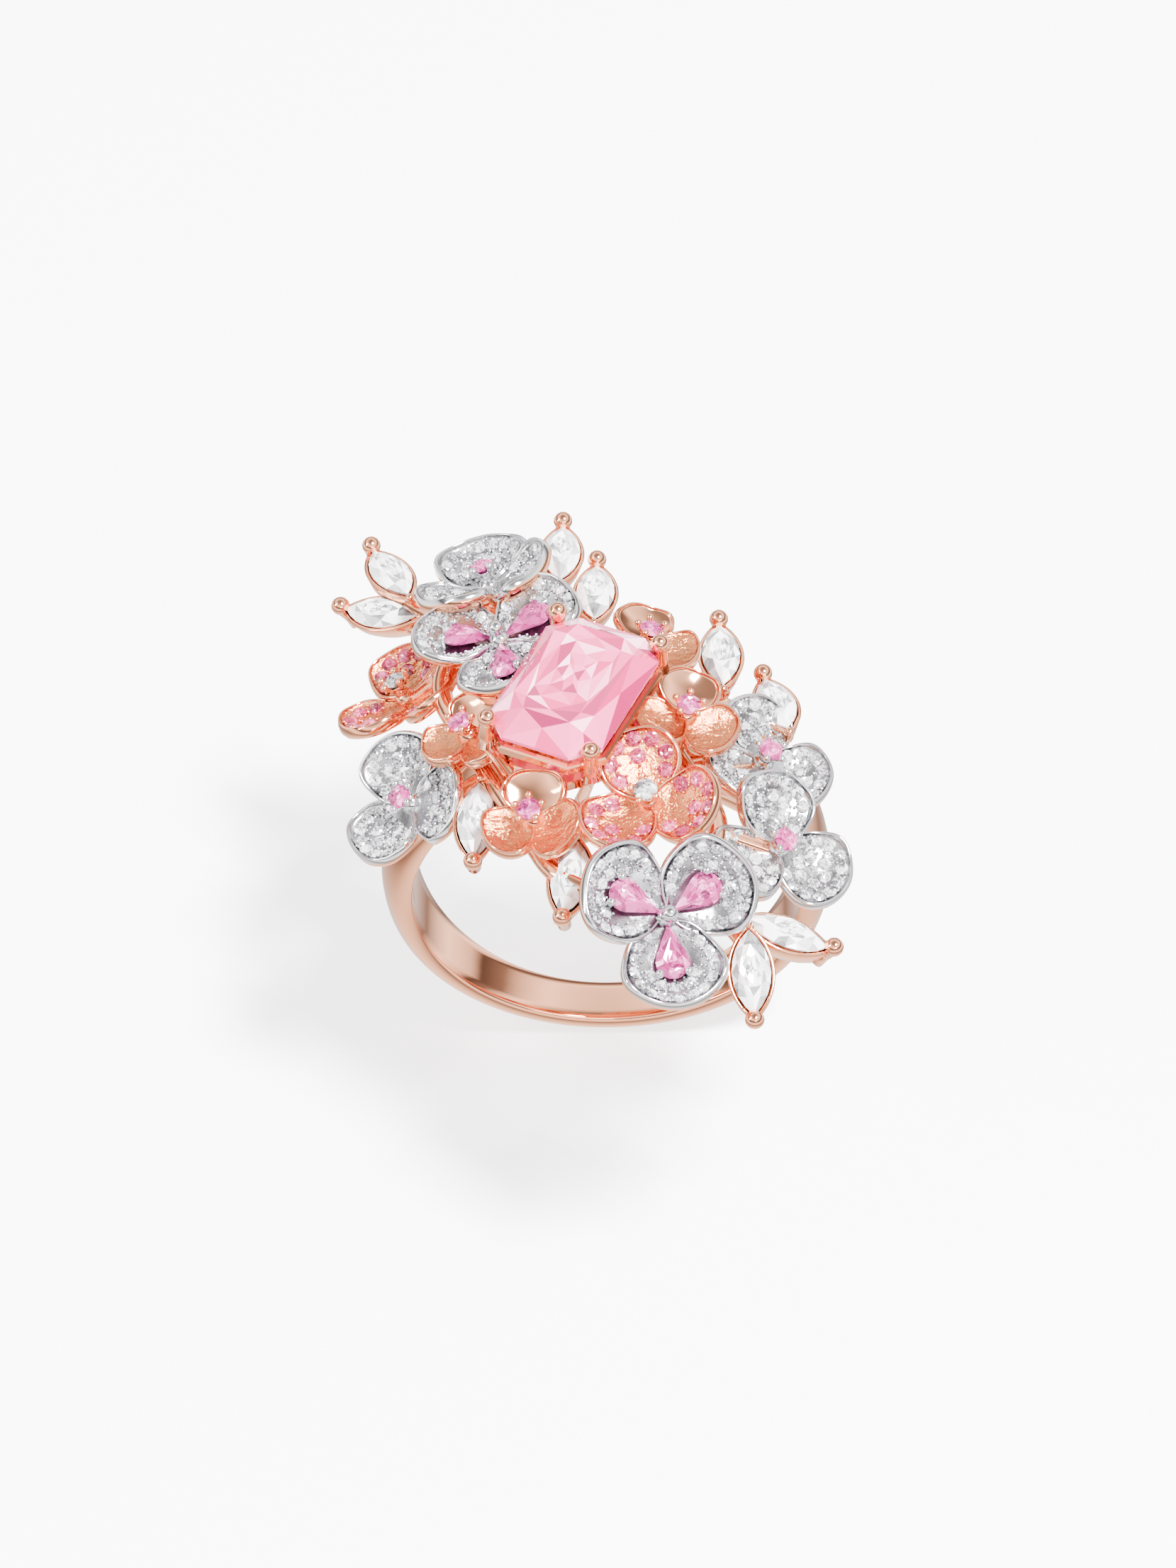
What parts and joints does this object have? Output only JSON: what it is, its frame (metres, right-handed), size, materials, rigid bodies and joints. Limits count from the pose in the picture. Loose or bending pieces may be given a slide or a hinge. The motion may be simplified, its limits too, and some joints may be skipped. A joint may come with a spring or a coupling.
{
  "type": "cocktail ring",
  "caption": "Floral cocktail ring: a plain band under a dome of gem-set blossoms and marquise leaves round one long cut-corner stone held by claws.",
  "frame": {"origin": "centre of the finger hole", "axes": "+Y along the finger, towards the back of the head; +Z from the finger up to the head; the band's lowest point is straight below the origin"},
  "size_m": [0.0226, 0.028, 0.0245],
  "materials": {
    "rose_gold": "polished rose gold",
    "white_gold": "polished rhodium-plated white gold",
    "pink_gem": "faceted pink stone",
    "clear_gem": "faceted white stone"
  },
  "bodies": {
    "root": {"shank": "rose_gold", "gallery": "rose_gold", "posts": "rose_gold", "basket": "rose_gold", "centre_stone": "pink_gem", "blossom_1_petals": "white_gold", "blossom_2_petals": "white_gold", "blossom_3_petals": "rose_gold", "blossom_4_petals": "white_gold", "blossom_5_petals": "rose_gold", "blossom_6_petals": "rose_gold", "blossom_7_petals": "rose_gold", "blossom_8_petals": "rose_gold", "blossom_9_petals": "rose_gold", "blossom_10_petals": "white_gold", "blossom_11_petals": "white_gold", "blossom_12_petals": "white_gold", "blossom_1_claws": "white_gold", "blossom_2_claws": "white_gold", "blossom_3_claws": "rose_gold", "blossom_4_claws": "white_gold", "blossom_5_claws": "rose_gold", "blossom_6_claws": "rose_gold", "blossom_7_claws": "rose_gold", "blossom_8_claws": "rose_gold", "blossom_9_claws": "rose_gold", "blossom_10_claws": "white_gold", "blossom_11_claws": "white_gold", "blossom_12_claws": "white_gold", "blossom_1_heart": "pink_gem", "blossom_2_pears": "pink_gem", "blossom_3_heart": "clear_gem", "blossom_4_heart": "pink_gem", "blossom_5_heart": "pink_gem", "blossom_6_heart": "pink_gem", "blossom_7_heart": "clear_gem", "blossom_8_heart": "pink_gem", "blossom_9_heart": "pink_gem", "blossom_10_heart": "pink_gem", "blossom_11_heart": "pink_gem", "blossom_12_pears": "pink_gem", "blossom_1_pave": "clear_gem", "blossom_2_pave": "clear_gem", "blossom_3_pave": "pink_gem", "blossom_4_pave": "clear_gem", "blossom_7_pave": "pink_gem", "blossom_10_pave": "clear_gem", "blossom_11_pave": "clear_gem", "blossom_12_pave": "clear_gem", "leaf_1_collet": "rose_gold", "leaf_2_collet": "rose_gold", "leaf_3_collet": "rose_gold", "leaf_4_collet": "rose_gold", "leaf_5_collet": "rose_gold", "leaf_6_collet": "rose_gold", "leaf_7_collet": "rose_gold", "leaf_8_collet": "rose_gold", "leaf_9_collet": "rose_gold", "leaf_10_collet": "rose_gold", "leaf_stones": "clear_gem"}
  },
  "joints": []
}
